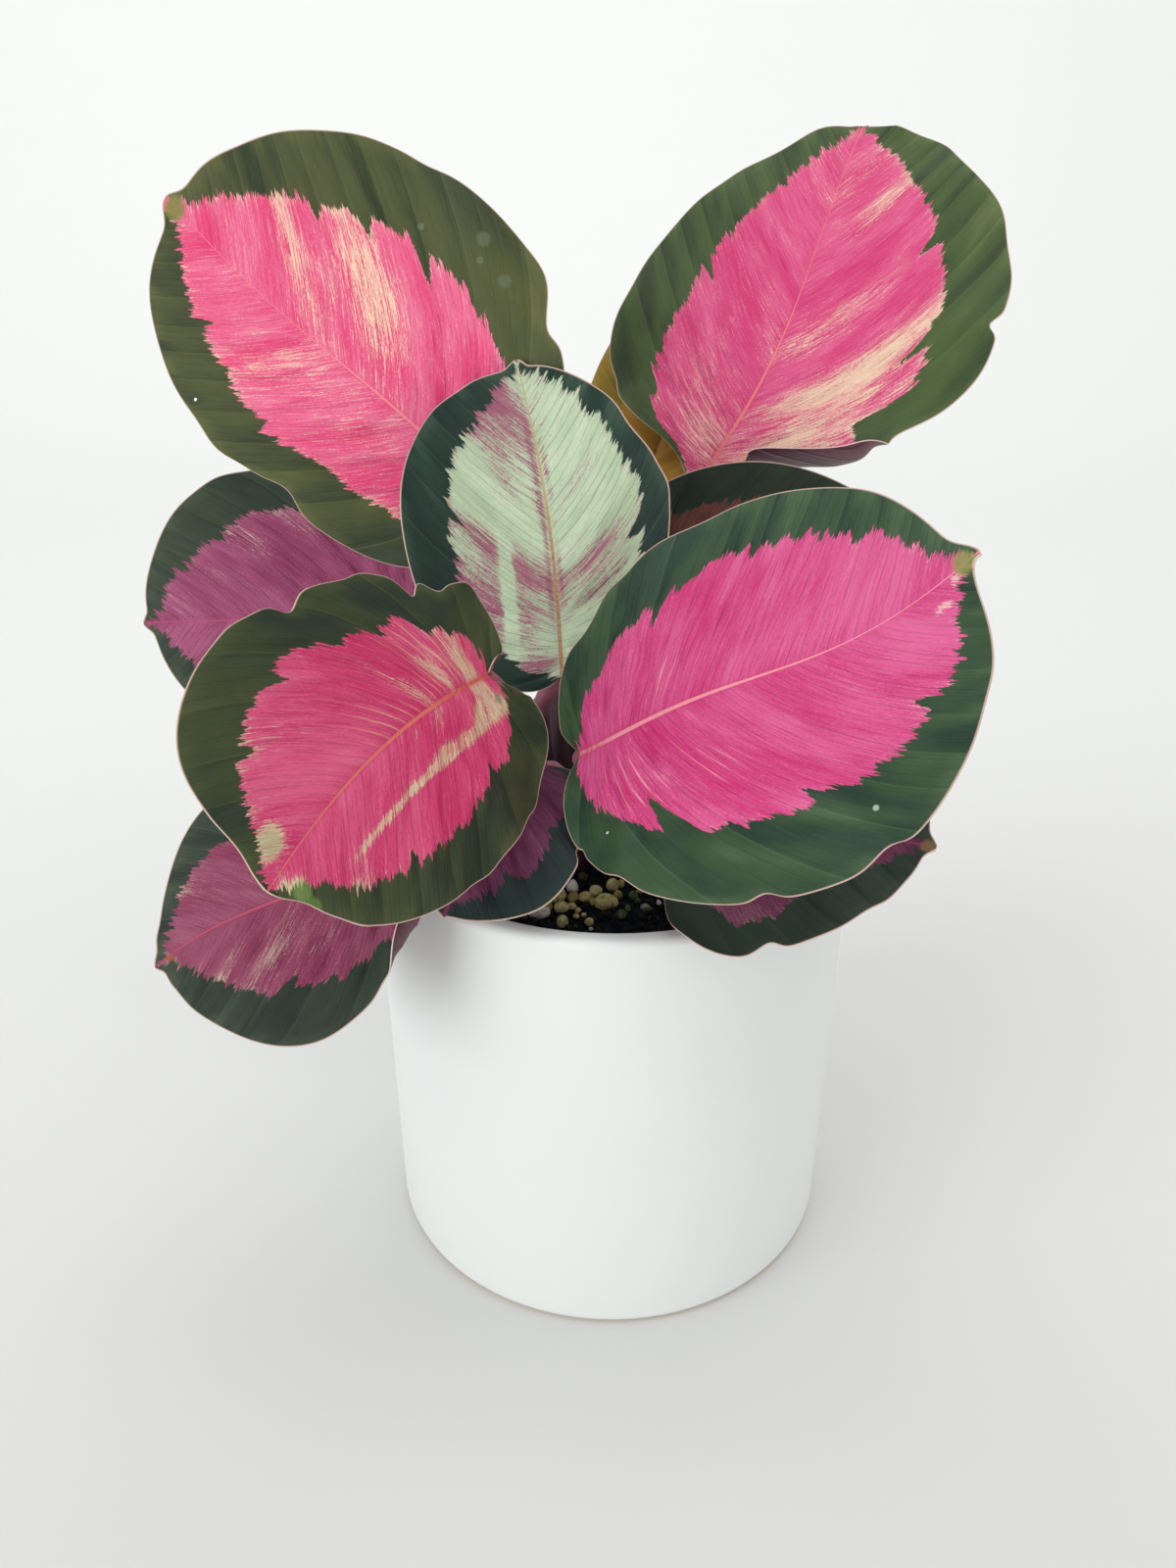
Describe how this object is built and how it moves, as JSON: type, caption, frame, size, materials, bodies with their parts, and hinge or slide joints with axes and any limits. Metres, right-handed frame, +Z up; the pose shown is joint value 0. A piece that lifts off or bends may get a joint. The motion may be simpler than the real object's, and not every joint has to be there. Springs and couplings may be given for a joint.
{
  "type": "potted calathea",
  "caption": "Potted calathea: broad rounded pink and green leaf blades on slender stalks in a straight-sided white pot with soil.",
  "frame": {"origin": "centre of the pot's underside", "axes": "+Z up along the pot's axis, -Y towards the front, where the soil shows between the leaves, +X to the right seen from the front"},
  "size_m": [0.2698, 0.2338, 0.3195],
  "materials": {
    "glaze": "matte white glaze",
    "soil": "dark crumbly potting mix",
    "granules": "dusty olive to tan beads",
    "leaf_pink": "satin leaf, pink centre and dark green margin",
    "leaf_mint": "satin leaf, pale mint centre with magenta patches",
    "leaf_dark": "satin leaf, dark green",
    "stalk": "smooth maroon to green stalk"
  },
  "bodies": {
    "root": {"pot": "glaze", "soil": "soil", "granules": "granules", "leaf_back_left": "leaf_pink", "leaf_back_right": "leaf_pink", "leaf_rear": "leaf_dark", "leaf_centre": "leaf_mint", "leaf_mid_right": "leaf_dark", "leaf_front_right": "leaf_pink", "leaf_front_left": "leaf_pink", "leaf_mid_left": "leaf_pink", "leaf_low_left": "leaf_pink", "leaf_low_front": "leaf_pink", "leaf_low_right": "leaf_pink", "stalk_back_left": "stalk", "stalk_back_right": "stalk", "stalk_rear": "stalk", "stalk_centre": "stalk", "stalk_mid_right": "stalk", "stalk_front_right": "stalk", "stalk_front_left": "stalk", "stalk_mid_left": "stalk", "stalk_low_left": "stalk", "stalk_low_front": "stalk", "stalk_low_right": "stalk"}
  },
  "joints": []
}
